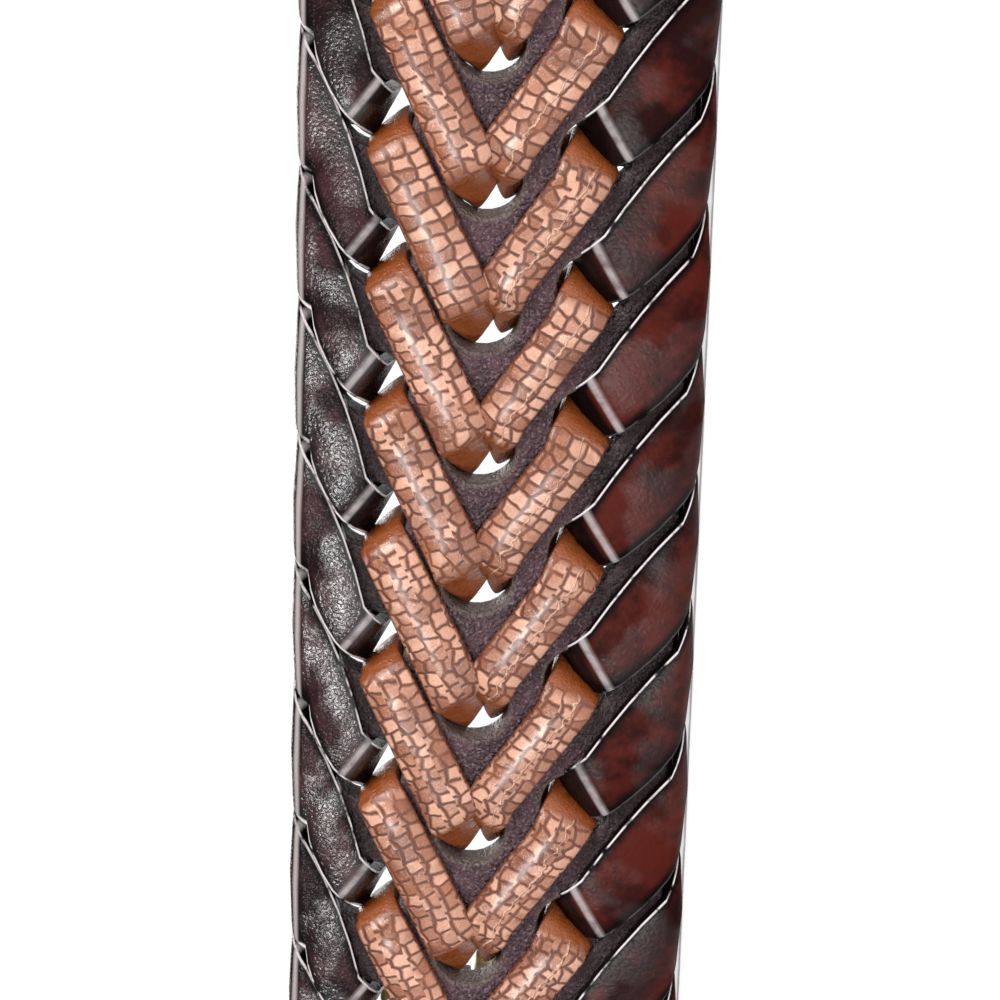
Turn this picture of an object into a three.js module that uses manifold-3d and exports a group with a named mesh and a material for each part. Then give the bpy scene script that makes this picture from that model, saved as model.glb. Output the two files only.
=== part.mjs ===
// A laced leather belt, open and standing on its edge in a U, in millimetres, +Z up.
// A plain strap carries three rows of punched holes. Two dark laces are whipped over its edges,
// and two tan laces run from the outer rows into the centre row, so that they form a V.

import * as THREE from "three";
import { mergeVertices } from "three/addons/utils/BufferGeometryUtils.js";
import Module from "manifold-3d";

// Overall sizes
const beltWidth = 35;
const strapThickness = 3;
const tipLength = 275;
const buckleEndLength = 185;
const frontLength = 180;
const cornerRadius = 120;
const clearance = 0.3;

// Braid: holes, rows across the belt measured from its upper edge, and laces
const pitch = 12;
const pitches = 36;
const holeDiameter = 6;
const holeSides = 8;
const leftRow = 6.9;
const centreRow = 16;
const rightRow = 25.1;
const centreLag = 0.49;
const rightLag = 0.25;
const laceThickness = 1.3;
const laceGap = 0.45;
const edgeLeftWidth = 4.3;
const edgeRightWidth = 5.8;
const tanLeftWidth = 4.5;
const tanRightWidth = 4.9;
const barePitchesBefore = 1.9;
const barePitchesAfter = 1.1;
const neckShare = 0.2;

// Plain ends
const tabWidth = 26;
const shoulderLength = 14;
const tipRounding = 18;
const tipEndShare = 0.2;
const sizeHoleDiameter = 4.5;
const sizeHoleSpacing = 25;
const sizeHoles = 5;
const firstSizeHole = 90;
const foldThickness = 2;
const foldLength = 55;
const foldSkive = 6;
const foldParting = 14.4;

// Buckle and keeper
const barDiameter = 4;
const railWidth = 3.5;
const railThickness = 3.5;
const windowLength = 20;
const frameCorner = 6;
const prongWidth = 4;
const prongThickness = 2.5;
const prongOverhang = 1.5;
const prongSeat = 0.2;
const prongRoom = 0.5;
const hubWall = 1.5;
const keeperWidth = 10;
const keeperThickness = 2;
const keeperRoom = 4.6;
const keeperSetback = 26;

// Facets of a round corner
const cornerFacets = 6;

// What follows from them
const holeRadius = holeDiameter / 2;
const edgeCover = laceGap + laceThickness;
const braidLength = (pitches + barePitchesBefore + barePitchesAfter) * pitch;
const totalLength = tipLength + braidLength + buckleEndLength;
const tipEnd = -totalLength / 2;
const barPlace = totalLength / 2;
const lacedStart = tipEnd + tipLength;
const lacedEnd = lacedStart + braidLength;
const firstHole = lacedStart + barePitchesBefore * pitch;
const cornerLength = (cornerRadius * Math.PI) / 2;
const laceLevel = strapThickness / 2 + laceGap + laceThickness / 2;
const neckLevel = strapThickness / 2 + neckShare * laceGap;
const foldedThickness = strapThickness + foldThickness;
const channelRadius = barDiameter / 2 + clearance;
const bulbRadius = channelRadius + foldedThickness / 2;
const foldMiddle = (strapThickness - foldedThickness) / 2;
const hubRadius = barDiameter / 2 + hubWall;
const throughCut = 4 * strapThickness;

// The belt's middle line in plan runs down one arm, along the front and up the other arm.
// A point is given by its distance along the belt from the front's middle, its distance across
// from the upper edge, and its distance out from the strap's middle.
function place(along, across, out) {
  const side = Math.sign(along) || 1;
  const onCorner = Math.abs(along) - frontLength / 2;
  const angle = THREE.MathUtils.clamp(onCorner / cornerRadius, 0, Math.PI / 2);
  const onFront = Math.min(Math.abs(along), frontLength / 2);
  const onArm = Math.max(onCorner - cornerLength, 0);
  const reach = cornerRadius + out;
  return new THREE.Vector3(
    -side * (onFront + reach * Math.sin(angle)),
    onArm - reach * Math.cos(angle),
    beltWidth - across,
  );
}

// The axes of a place on the belt: along it, down across it, and out of it
function frameAt(along, across, out) {
  const origin = place(along, across, out);
  const outward = place(along, across, out + 1).sub(origin);
  const downward = new THREE.Vector3(0, 0, -1);
  const onward = new THREE.Vector3().crossVectors(downward, outward);
  return { origin, outward, downward, onward };
}

// A rectangular section: its middle, its half width in the strap's plane and its half thickness
function sectionCorners({ along, across, out, swing, turn, width, thickness }) {
  const a = THREE.MathUtils.degToRad(swing);
  const t = THREE.MathUtils.degToRad(turn);
  const mitre = 1 / Math.max(Math.abs(Math.cos(t)), Math.abs(Math.sin(t)));
  const half = { across: (Math.cos(a) * width) / 2, along: (Math.sin(a) * width) / 2 };
  const depth = (mitre * thickness) / 2;
  const face = {
    across: -Math.sin(a) * Math.sin(t) * depth,
    along: Math.cos(a) * Math.sin(t) * depth,
    out: Math.cos(t) * depth,
  };
  const signs = [[1, 1], [-1, 1], [-1, -1], [1, -1]];
  return signs.map(([w, f]) => place(
    along + w * half.along + f * face.along,
    across + w * half.across + f * face.across,
    out + f * face.out,
  ));
}

// A closed solid through a row of four-cornered sections
function loftSections(sections) {
  const points = sections.flatMap(sectionCorners);
  const last = (sections.length - 1) * 4;
  const faces = [0, 2, 1, 0, 3, 2, last, last + 1, last + 2, last, last + 2, last + 3];
  for (let start = 0; start < last; start += 4) {
    for (let corner = 0; corner < 4; corner += 1) {
      const a = start + corner;
      const b = start + ((corner + 1) % 4);
      faces.push(a, b, a + 4, b, b + 4, a + 4);
    }
  }
  const geometry = new THREE.BufferGeometry().setFromPoints(points);
  geometry.setIndex(faces);
  return geometry;
}

const library = await Module();
library.setup();

function toSolid(geometry) {
  const bare = geometry.clone();
  bare.deleteAttribute("normal");
  bare.deleteAttribute("uv");
  const merged = mergeVertices(bare, 1e-4);
  return new library.Manifold(new library.Mesh({
    numProp: 3,
    vertProperties: new Float32Array(merged.attributes.position.array),
    triVerts: new Uint32Array(merged.index.array),
  }));
}

function toGeometry(solid) {
  const mesh = solid.getMesh();
  const geometry = new THREE.BufferGeometry();
  geometry.setAttribute("position", new THREE.BufferAttribute(mesh.vertProperties, 3));
  geometry.setIndex(new THREE.BufferAttribute(mesh.triVerts, 1));
  return geometry;
}

// Puts a geometry drawn with X along the belt, Y down across it and Z out of it in its place
function seat(geometry, along, across, out) {
  const { origin, outward, downward, onward } = frameAt(along, across, out);
  const matrix = new THREE.Matrix4().makeBasis(onward, downward, outward).setPosition(origin);
  return geometry.applyMatrix4(matrix);
}

// A punch through the strap, with flats facing along and across the belt
function punch(along, across, diameter, sides) {
  const flatToFlat = diameter / 2 / Math.cos(Math.PI / sides);
  const cylinder = new THREE.CylinderGeometry(flatToFlat, flatToFlat, throughCut, sides);
  cylinder.rotateY(Math.PI / sides).rotateX(Math.PI / 2);
  return toSolid(seat(cylinder, along, across, 0));
}

// Rows that the laces are measured from: hole rows, and the laces' middle at the edges
const rows = {
  upperEdge: { across: laceThickness / 2, lag: 0 },
  left: { across: leftRow, lag: 0 },
  centre: { across: centreRow, lag: centreLag },
  right: { across: rightRow, lag: rightLag },
  lowerEdge: { across: beltWidth - laceThickness / 2, lag: rightLag },
};

// Sections of each lace over one turn. A section is measured in hole radii, across and along, from
// the row's hole or edge that is step pitches on. swing is its angle in the strap's plane, turn is
// its angle round the belt, and width is a share of what the last column names.
const levels = { back: -laceLevel, neck: neckLevel, front: laceLevel };
const columns = ["row", "step", "across", "along", "level", "swing", "turn", "width", "of"];
const edgeLeftTurn = [
  ["left", -1, -0.36, -0.36, "back", -60, -225, 0.6, "hole"],
  ["upperEdge", -1.2, 0, 0, "back", -90, -135, 0.72, "pitch"],
  ["upperEdge", -1.17, 0, 0, "front", -90, -45, 0.86, "pitch"],
  ["left", 0, -0.5, -0.66, "front", -51, 45, 1, "lace"],
  ["left", 0, -0.36, -0.36, "neck", -45, 90, 0.5, "hole"],
];
const edgeRightTurn = [
  ["right", -1, 0.36, -0.36, "back", 60, -225, 0.6, "hole"],
  ["lowerEdge", -1.1, 0, 0, "back", 90, -135, 0.8, "pitch"],
  ["lowerEdge", -1.06, 0, 0, "front", 90, -45, 0.95, "pitch"],
  ["right", 0, 0.5, -0.53, "front", 63, 45, 1, "lace"],
  ["right", 0, 0.36, -0.36, "neck", 45, 90, 0.5, "hole"],
];
const tanLeftTurn = [
  ["centre", 0, -0.47, -0.26, "back", -52, -225, 0.45, "hole"],
  ["left", 0, 0.36, 0.36, "back", -52, -135, 0.6, "hole"],
  ["left", 0, 0.36, 0.36, "neck", -45, -90, 0.5, "hole"],
  ["left", 0, 0.44, 0.72, "front", -30, -45, 1, "lace"],
  ["centre", 1, -0.54, -0.5, "front", -9, 45, 1, "lace"],
  ["centre", 1, -0.47, -0.26, "neck", -45, 90, 0.36, "hole"],
];
const tanRightTurn = [
  ["centre", 0, 0.47, -0.26, "back", 60, -225, 0.45, "hole"],
  ["right", 0, -0.36, 0.36, "back", 60, -135, 0.6, "hole"],
  ["right", 0, -0.36, 0.36, "neck", 45, -90, 0.5, "hole"],
  ["right", 0, -0.35, 0.66, "front", 15, -45, 1, "lace"],
  ["centre", 1, 0.73, -0.95, "front", 29, 0, 1, "lace"],
  ["centre", 1, 0.86, -0.25, "front", 20, 45, 0.45, "lace"],
  ["centre", 1, 0.47, -0.26, "neck", 45, 90, 0.36, "hole"],
];

// A whole lace: its turns one after the other, with a square tail on the back at each end
function windLace(table, laceWidth) {
  const widths = { lace: laceWidth, hole: holeDiameter, pitch };
  const toSection = (line, turnNumber) => {
    const entry = Object.fromEntries(columns.map((name, i) => [name, line[i]]));
    const row = rows[entry.row];
    return {
      along: firstHole + (turnNumber + entry.step + row.lag) * pitch + entry.along * holeRadius,
      across: row.across + entry.across * holeRadius,
      out: levels[entry.level],
      swing: entry.swing,
      turn: entry.turn,
      width: entry.width * widths[entry.of],
      thickness: laceThickness,
    };
  };
  const sections = [];
  for (let turnNumber = 0; turnNumber < pitches; turnNumber += 1) {
    table.forEach((line) => sections.push(toSection(line, turnNumber)));
  }
  sections.push(toSection(table[0], pitches));
  sections.push(toSection(table[1], pitches));
  sections[0].turn = -180;
  sections[sections.length - 1].turn = -180;
  return loftSections(sections);
}

// The strap: sections from the rounded tip to the fold round the buckle's bar, then its holes
function makeStrap() {
  const section = (along, width, thickness = strapThickness, out = 0) => ({
    along, across: beltWidth / 2, out, swing: 0, turn: 0, width, thickness,
  });
  const sections = [];
  for (let i = 0; i <= cornerFacets; i += 1) {
    const angle = ((i / cornerFacets) * Math.PI) / 2;
    const narrow = Math.max(Math.sin(angle), tipEndShare);
    sections.push(section(tipEnd + tipRounding * (1 - Math.cos(angle)), tabWidth * narrow));
  }
  const tabStart = tipEnd + tipRounding;
  const tabEnd = lacedStart - shoulderLength;
  const tabFacets = Math.round((tabEnd - tabStart) / pitch);
  for (let i = 1; i <= tabFacets; i += 1) {
    sections.push(section(THREE.MathUtils.lerp(tabStart, tabEnd, i / tabFacets), tabWidth));
  }
  // In the braid the facets meet between the holes
  const lacedWidth = beltWidth - 2 * edgeCover;
  const facetLag = (centreLag + 1) / 2;
  sections.push(section(lacedStart, lacedWidth));
  for (let i = 0; i <= pitches; i += 1) {
    sections.push(section(firstHole + (i - 1 + facetLag) * pitch, lacedWidth));
  }
  sections.push(section(lacedEnd, lacedWidth));
  sections.push(section(lacedEnd + shoulderLength, tabWidth));
  const foldStart = barPlace - foldLength;
  sections.push(section(foldStart, tabWidth));
  sections.push(section(foldStart + foldSkive, tabWidth, foldedThickness, foldMiddle));
  sections.push(section(barPlace - foldParting, tabWidth, foldedThickness, foldMiddle));
  for (let i = 1; i < cornerFacets; i += 1) {
    const angle = ((i + 1) / (cornerFacets + 1)) * Math.PI;
    const thick = 2 * bulbRadius * Math.sin(angle);
    sections.push(section(barPlace - bulbRadius * Math.cos(angle), tabWidth, thick, foldMiddle));
  }
  let strap = toSolid(loftSections(sections));
  for (let i = 0; i < pitches; i += 1) {
    [rows.left, rows.centre, rows.right].forEach((row) => {
      const step = i + row.lag + (row === rows.centre ? 1 : 0);
      strap = strap.subtract(punch(firstHole + step * pitch, row.across, holeDiameter, holeSides));
    });
  }
  for (let i = 0; i < sizeHoles; i += 1) {
    const along = tipEnd + firstSizeHole + i * sizeHoleSpacing;
    strap = strap.subtract(punch(along, beltWidth / 2, sizeHoleDiameter, holeSides));
  }
  const channel = acrossRod(channelRadius / Math.cos(Math.PI / holeSides), beltWidth);
  const slotBehind = hubRadius + prongRoom;
  const slotLength = 2 * bulbRadius + slotBehind;
  const slot = new THREE.BoxGeometry(slotLength, prongWidth + 2 * prongRoom, throughCut);
  slot.translate(bulbRadius - slotBehind / 2, 0, 0);
  [channel, slot].forEach((cut) => {
    strap = strap.subtract(toSolid(seat(cut, barPlace, beltWidth / 2, foldMiddle)));
  });
  return toGeometry(strap);
}

// A rod lying across the belt, such as the buckle's bar
function acrossRod(radius, length) {
  return new THREE.CylinderGeometry(radius, radius, length, holeSides).rotateY(Math.PI / holeSides);
}

// The buckle: two rails and a far end in one bent frame, a round bar between the rails' near
// ends, and a prong from the bar to the far end
function makeBuckle() {
  const near = -channelRadius;
  const inner = barDiameter / 2 + windowLength;
  const far = inner + railWidth;
  const middle = beltWidth / 2;
  const innerCorner = frameCorner - railWidth;
  const outline = new THREE.Shape();
  outline.moveTo(near, -middle);
  outline.lineTo(far - frameCorner, -middle);
  outline.absarc(far - frameCorner, -middle + frameCorner, frameCorner, -Math.PI / 2, 0);
  outline.absarc(far - frameCorner, middle - frameCorner, frameCorner, 0, Math.PI / 2);
  outline.lineTo(near, middle);
  outline.lineTo(near, middle - railWidth);
  outline.absarc(inner - innerCorner, middle - frameCorner, innerCorner, Math.PI / 2, 0, true);
  outline.absarc(inner - innerCorner, -middle + frameCorner, innerCorner, 0, -Math.PI / 2, true);
  outline.lineTo(near, -middle + railWidth);
  const frame = new THREE.ExtrudeGeometry(outline, {
    depth: railThickness, bevelEnabled: false, curveSegments: cornerFacets,
  }).translate(0, 0, -railThickness / 2);

  const restHeight = railThickness / 2;
  const side = new THREE.Shape([
    new THREE.Vector2(0, hubRadius - prongThickness),
    new THREE.Vector2(inner, restHeight - prongSeat),
    new THREE.Vector2(far + prongOverhang, restHeight - prongSeat),
    new THREE.Vector2(far + prongOverhang, restHeight + prongThickness / 2),
    new THREE.Vector2(inner, restHeight + prongThickness),
    new THREE.Vector2(0, hubRadius),
  ]);
  const prong = new THREE.ExtrudeGeometry(side, { depth: prongWidth, bevelEnabled: false })
    .translate(0, 0, -prongWidth / 2)
    .rotateX(Math.PI / 2);
  const bar = acrossRod(barDiameter / 2, beltWidth - railWidth);
  const hub = acrossRod(hubRadius, prongWidth);
  const buckle = [bar, hub, prong].reduce((joined, piece) => joined.add(toSolid(piece)), toSolid(frame));
  return seat(toGeometry(buckle), barPlace, middle, foldMiddle);
}

// The keeper: a band round the doubled strap, with room at the front for the belt's tip
function makeKeeper() {
  const innerHalf = tabWidth / 2 + clearance;
  const innerBack = foldMiddle - foldedThickness / 2 - clearance;
  const innerFront = strapThickness / 2 + keeperRoom;
  const rectangle = (Path, margin) => new Path([
    new THREE.Vector2(-innerHalf - margin, innerBack - margin),
    new THREE.Vector2(innerHalf + margin, innerBack - margin),
    new THREE.Vector2(innerHalf + margin, innerFront + margin),
    new THREE.Vector2(-innerHalf - margin, innerFront + margin),
  ]);
  const ring = rectangle(THREE.Shape, keeperThickness);
  ring.holes.push(rectangle(THREE.Path, 0));
  const band = new THREE.ExtrudeGeometry(ring, { depth: keeperWidth, bevelEnabled: false });
  const [x, y, z] = [new THREE.Vector3(1, 0, 0), new THREE.Vector3(0, 1, 0), new THREE.Vector3(0, 0, 1)];
  band.translate(0, 0, -keeperWidth / 2).applyMatrix4(new THREE.Matrix4().makeBasis(y, z, x));
  return seat(band, barPlace - keeperSetback, beltWidth / 2, 0);
}

// Finishes of the leathers and of the brass
const matteBase = { color: 0x4b323a, roughness: 0.85, metalness: 0 };
const nearBlack = { color: 0x28191c, roughness: 0.35, metalness: 0 };
const redBrown = { color: 0x4a1c17, roughness: 0.35, metalness: 0 };
const tan = { color: 0xb0683c, roughness: 0.45, metalness: 0 };
const agedBrass = { color: 0x8f7a4e, roughness: 0.4, metalness: 0.9 };

const belt = new THREE.Group();
function addMesh(name, geometry, finish) {
  const mesh = new THREE.Mesh(geometry, new THREE.MeshStandardMaterial(finish));
  mesh.name = name;
  belt.add(mesh);
}
addMesh("base_strap", makeStrap(), matteBase);
addMesh("edge_lace_left", windLace(edgeLeftTurn, edgeLeftWidth), nearBlack);
addMesh("edge_lace_right", windLace(edgeRightTurn, edgeRightWidth), redBrown);
addMesh("tan_lace_left", windLace(tanLeftTurn, tanLeftWidth), tan);
addMesh("tan_lace_right", windLace(tanRightTurn, tanRightWidth), tan);
addMesh("buckle", makeBuckle(), agedBrass);
addMesh("keeper", makeKeeper(), redBrown);

// The belt's frame has its origin below the middle of its box
const box = new THREE.Box3().setFromObject(belt);
belt.position.set(-(box.min.x + box.max.x) / 2, -(box.min.y + box.max.y) / 2, 0);

export default belt;
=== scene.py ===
"""The looks of an open laced leather belt that stands on its edge in a U.

A plain strap carries three rows of holes. Two dark laces are whipped over its edges, and two tan
laces meet in a V over its middle row. Lengths on the flat belt are in millimetres.
"""
import math
import random
from collections import namedtuple

import bmesh
import bpy
from mathutils import Matrix, Vector


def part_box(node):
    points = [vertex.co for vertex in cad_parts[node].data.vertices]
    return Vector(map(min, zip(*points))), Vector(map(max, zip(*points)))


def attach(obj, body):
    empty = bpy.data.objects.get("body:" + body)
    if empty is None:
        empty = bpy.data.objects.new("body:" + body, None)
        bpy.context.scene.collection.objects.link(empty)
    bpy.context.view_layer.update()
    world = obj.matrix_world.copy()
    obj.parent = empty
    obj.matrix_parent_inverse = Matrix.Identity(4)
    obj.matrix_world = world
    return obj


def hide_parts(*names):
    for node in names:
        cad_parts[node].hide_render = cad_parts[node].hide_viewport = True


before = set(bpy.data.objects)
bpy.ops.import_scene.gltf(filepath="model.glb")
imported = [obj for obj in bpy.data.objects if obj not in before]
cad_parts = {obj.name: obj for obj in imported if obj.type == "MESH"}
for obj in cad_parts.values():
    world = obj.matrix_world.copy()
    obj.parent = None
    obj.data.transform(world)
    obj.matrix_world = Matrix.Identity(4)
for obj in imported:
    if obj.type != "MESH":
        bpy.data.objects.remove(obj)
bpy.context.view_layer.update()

# ---- Strap
# One length of rough purple-brown cowhide, 3 mm thick, with three rows of punched holes. Its tip
# is rounded, and its other end is skived, folded round the buckle's bar and sewn to itself.
mm = 0.001
belt_width = 35
strap_thickness = 3
laced_width = 31.5
tab_width = 26
front_length = 180
corner_radius = 120
corner_length = corner_radius * math.pi / 2
tip_end = -464
laced_start = -189
laced_end = 279
bar_place = 464
pitch = 12
turns = 36
first_hole = -166.2
hole_radius = 3
size_hole_radius = 2.25
first_size_hole = tip_end + 90
size_hole_spacing = 25
size_holes = 5
tip_rounding = 18
shoulder_length = 14
fold_length = 55
fold_skive = 6
fold_parting = 14.4
fold_thickness = 2
bar_level = -1
bar_room = 2.3
rim_radius = 0.45
rim_margin = 0.3

# Hole rows and edges: distance across the belt from its upper edge, and lag in pitches
rows = {
    "upper edge": (0, 0),
    "left": (6.9, 0),
    "centre": (16, 0.49),
    "right": (25.1, 0.25),
    "lower edge": (belt_width, 0.25),
}

strap_low, strap_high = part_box("base_strap")
front_y = strap_low[1] / mm + strap_thickness / 2
centre_x = strap_high[0] / mm - strap_thickness / 2 - corner_radius - front_length / 2


def on_belt(along, across, out):
    """The place, in metres, of a point along the belt from the front's middle, down across it
    from its upper edge, and out from the strap's middle."""
    side = math.copysign(1, along)
    past_front = abs(along) - front_length / 2
    angle = min(max(past_front, 0), corner_length) / corner_radius
    on_front = min(abs(along), front_length / 2)
    on_arm = max(past_front - corner_length, 0)
    reach = corner_radius + out
    x = centre_x - side * (on_front + reach * math.sin(angle))
    y = front_y + corner_radius + on_arm - reach * math.cos(angle)
    return Vector((x, y, belt_width - across)) * mm


def ease(share):
    share = min(max(share, 0), 1)
    return share * share * (3 - 2 * share)


loop_top = bar_room + strap_thickness / 2
loop_bottom = bar_room + fold_thickness / 2
loop_length = math.pi * (loop_top + loop_bottom) / 2
strap_end = bar_place + loop_length + fold_length
folded_level = bar_level - loop_bottom
lying_level = -(strap_thickness + fold_thickness) / 2


def fold(length, level):
    """Where a point of the flat strap comes when its end is folded round the bar: along, out."""
    if length <= bar_place:
        rise = ease((length - bar_place) / fold_parting + 1) * (bar_level + loop_top)
        return length, rise + level
    share = (length - bar_place) / loop_length
    thinning = 1 + min(share, 1) * (fold_thickness / strap_thickness - 1)
    if share < 1:
        angle = share * math.pi
        reach = loop_top + share * (loop_bottom - loop_top) + level * thinning
        return bar_place + reach * math.sin(angle), bar_level + reach * math.cos(angle)
    back = length - bar_place - loop_length
    drop = ease(1 - back / fold_parting) * (folded_level - lying_level)
    skive = min((fold_length - back) / fold_skive, 1) * 0.6 + 0.4
    return bar_place - back, lying_level + drop - level * thinning * skive


def run_edge(sheet, corner, stations):
    """Carries one side of the outline on through places along and across the strap."""
    for along, across in stations:
        corner = bmesh.ops.extrude_vert_indiv(sheet, verts=[corner])["verts"][0]
        corner.co = (along, across, 0)
    return corner


def punch(sheet, along, across, radius, stretch=0):
    """The rim of a round hole, or of one that is stretched along the strap."""
    steps = 24
    place = Matrix.Translation((along, across, 0)) @ Matrix.Rotation(math.pi / steps, 4, "Z")
    rim = bmesh.ops.create_circle(sheet, segments=steps, radius=radius + rim_inset, matrix=place)
    for vert in rim["verts"]:
        vert.co.x += math.copysign(stretch / 2, vert.co.x - along)


rim_inset = rim_radius + rim_margin


def cut_outline(sheet):
    """The strap's outline, from the round tip along both sides to the folded end."""
    tip_steps = 16
    tip = bmesh.ops.create_circle(sheet, segments=2 * tip_steps, radius=1)["verts"]
    past_tip = [vert for vert in tip if vert.co.x > rim_inset / tab_width]
    bmesh.ops.delete(sheet, geom=past_tip, context="VERTS")
    half_tab = tab_width / 2 - rim_inset
    half_laced = laced_width / 2 - rim_inset
    for vert in sheet.verts:
        vert.co.x = tip_end + rim_inset + tip_rounding * (1 + vert.co.x)
        vert.co.y = belt_width / 2 + half_tab * vert.co.y
    corners = sorted(sheet.verts, key=lambda vert: vert.co.y)
    shoulder_steps = 6
    ends = []
    for corner, side in ((corners[0], -1), (corners[-1], 1)):
        widths = []
        for step in range(shoulder_steps + 1):
            share = step / shoulder_steps
            half = half_tab + (half_laced - half_tab) * ease(share)
            widths.append((laced_start - shoulder_length * (1 - share), half))
        for step in range(shoulder_steps + 1):
            share = step / shoulder_steps
            half = half_laced + (half_tab - half_laced) * ease(share)
            widths.append((laced_end + shoulder_length * share, half))
        widths.append((strap_end - rim_inset, half_tab))
        stations = [(along, belt_width / 2 + side * half) for along, half in widths]
        ends.append(run_edge(sheet, corner, stations))
    sheet.edges.new(ends)


def round_rims(sheet):
    """Rounds every rim of half the strap's thickness, from its face down to its middle. The
    attribute cut is 1 on the cut sides and 0 on the faces."""
    cut = sheet.verts.layers.float.new("cut")
    outward = {}
    rim = [edge for edge in sheet.edges if edge.is_boundary]
    for edge in rim:
        first, second = edge.verts
        normal = Vector((0, 0, 1)).cross(second.co - first.co).normalized()
        if normal.dot(first.co - edge.link_faces[0].calc_center_median()) < 0:
            normal.negate()
        for vert in edge.verts:
            outward[vert] = (outward.get(vert, Vector()) + normal).normalized()
    round_steps = 3
    moves = [(rim_margin, 0)]
    for step in range(1, round_steps + 1):
        before = (step - 1) / round_steps * math.pi / 2
        after = step / round_steps * math.pi / 2
        moves.append((
            rim_radius * (math.sin(after) - math.sin(before)),
            rim_radius * (math.cos(before) - math.cos(after)),
        ))
    moves.append((0, strap_thickness / 2 - rim_radius))
    for grow, drop in moves:
        made = bmesh.ops.extrude_edge_only(sheet, edges=rim)["geom"]
        rim = [item for item in made if isinstance(item, bmesh.types.BMEdge) and item.is_boundary]
        fresh = [item for item in made if isinstance(item, bmesh.types.BMVert)]
        olds = {}
        for vert in fresh:
            near = (edge.other_vert(vert) for edge in vert.link_edges)
            olds[vert] = next(other for other in near if other in outward)
        for vert, old in olds.items():
            vert.co += outward[old] * grow - Vector((0, 0, drop))
            vert[cut] = 1 if drop else 0
        outward = {vert: outward[old] for vert, old in olds.items()}


def add_piece(name, mesh_work, material, smooth_angle=40):
    """Turns a finished bmesh into an object of the belt with its material."""
    mesh = bpy.data.meshes.new(name)
    mesh_work.to_mesh(mesh)
    mesh_work.free()
    mesh.shade_smooth()
    mesh.set_sharp_from_angle(angle=math.radians(smooth_angle))
    mesh.materials.append(material)
    piece = bpy.data.objects.new(name, mesh)
    bpy.context.scene.collection.objects.link(piece)
    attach(piece, "root")
    return piece


def add_node(tree, kind, sockets=None, **settings):
    """A shader node with its settings, and its sockets linked or given values."""
    node = tree.nodes.new("ShaderNode" + kind)
    for name, value in settings.items():
        setattr(node, name, value)
    for name, value in (sockets or {}).items():
        if isinstance(value, bpy.types.NodeSocket):
            tree.links.new(value, node.inputs[name])
        else:
            node.inputs[name].default_value = value
    return node


def math_of(tree, operation, *values):
    node = add_node(tree, "Math", dict(enumerate(values)), operation=operation)
    return node.outputs[0]


def times(tree, first, second):
    return math_of(tree, "MULTIPLY", first, second)


def spread(tree, value, low, high, start=0.0, end=1.0):
    """Carries a value from low to high smoothly over to start to end."""
    sockets = {"Value": value, "From Min": low, "From Max": high, "To Min": start, "To Max": end}
    node = add_node(tree, "MapRange", sockets, interpolation_type="SMOOTHSTEP")
    return node.outputs["Result"]


def mix_colours(tree, share, first, second):
    node = add_node(tree, "Mix", data_type="RGBA")
    factor, a, b = node.inputs[0], node.inputs[6], node.inputs[7]
    for socket, value in ((factor, share), (a, first), (b, second)):
        if isinstance(value, bpy.types.NodeSocket):
            tree.links.new(value, socket)
        else:
            socket.default_value = value
    return node.outputs[2]


def leather(red, green, blue):
    """A colour read off leather in daylight, as screen values from 0 to 255."""
    def to_linear(value):
        share = value / 255
        return share / 12.92 if share <= 0.04045 else ((share + 0.055) / 1.055) ** 2.4
    return (to_linear(red), to_linear(green), to_linear(blue), 1)


def new_group(name, inputs, outputs):
    """An empty shader node group with its sockets."""
    group = bpy.data.node_groups.new(name, "ShaderNodeTree")
    for label, kind, value in inputs:
        socket = group.interface.new_socket(label, in_out="INPUT", socket_type=kind)
        if value is not None:
            socket.default_value = value
    for label, kind in outputs:
        group.interface.new_socket(label, in_out="OUTPUT", socket_type=kind)
    return group, group.nodes.new("NodeGroupInput"), group.nodes.new("NodeGroupOutput")


def make_grain():
    """Leather grain: pebbles between fine creases, and blotches where the dye took unevenly."""
    group, given, result = new_group(
        "leather_grain",
        [("Vector", "NodeSocketVector", None), ("Pebbles", "NodeSocketFloat", 1500.0)],
        [(label, "NodeSocketFloat") for label in ("Height", "Blotches", "Fibres")],
    )
    place, pebbles = given.outputs["Vector"], given.outputs["Pebbles"]
    warp = add_node(group, "TexNoise", {"Vector": place, "Scale": pebbles, "Detail": 2.0})
    shift = add_node(group, "VectorMath", {0: warp.outputs["Color"], 1: (0.5, 0.5, 0.5)},
                     operation="SUBTRACT")
    shift = add_node(group, "VectorMath", {0: shift.outputs[0], "Scale": 0.0006}, operation="SCALE")
    moved = add_node(group, "VectorMath", {0: place, 1: shift.outputs[0]}, operation="ADD")
    cells = add_node(group, "TexVoronoi", {"Vector": moved.outputs[0], "Scale": pebbles},
                     feature="DISTANCE_TO_EDGE")
    bumps = spread(group, cells.outputs["Distance"], 0.0, 0.35)
    fine = add_node(group, "TexNoise", {
        "Vector": place, "Scale": times(group, pebbles, 2.2), "Detail": 3.0,
    })
    height = math_of(group, "ADD", times(group, bumps, 0.55),
                     times(group, fine.outputs["Fac"], 0.45))
    broad = add_node(group, "TexNoise", {
        "Vector": place, "Scale": times(group, pebbles, 0.12), "Detail": 4.0,
        "Roughness": 0.65,
    })
    group.links.new(height, result.inputs["Height"])
    group.links.new(spread(group, broad.outputs["Fac"], 0.35, 0.68), result.inputs["Blotches"])
    group.links.new(spread(group, fine.outputs["Fac"], 0.5, 0.72), result.inputs["Fibres"])
    return group


grain = make_grain()


def new_material(name):
    """A material with its tree, its shader and a place on the piece to read patterns from."""
    material = bpy.data.materials.new(name)
    material.use_nodes = True
    tree = material.node_tree
    place = add_node(tree, "TexCoord").outputs["Object"]
    return material, tree, tree.nodes["Principled BSDF"], place


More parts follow.
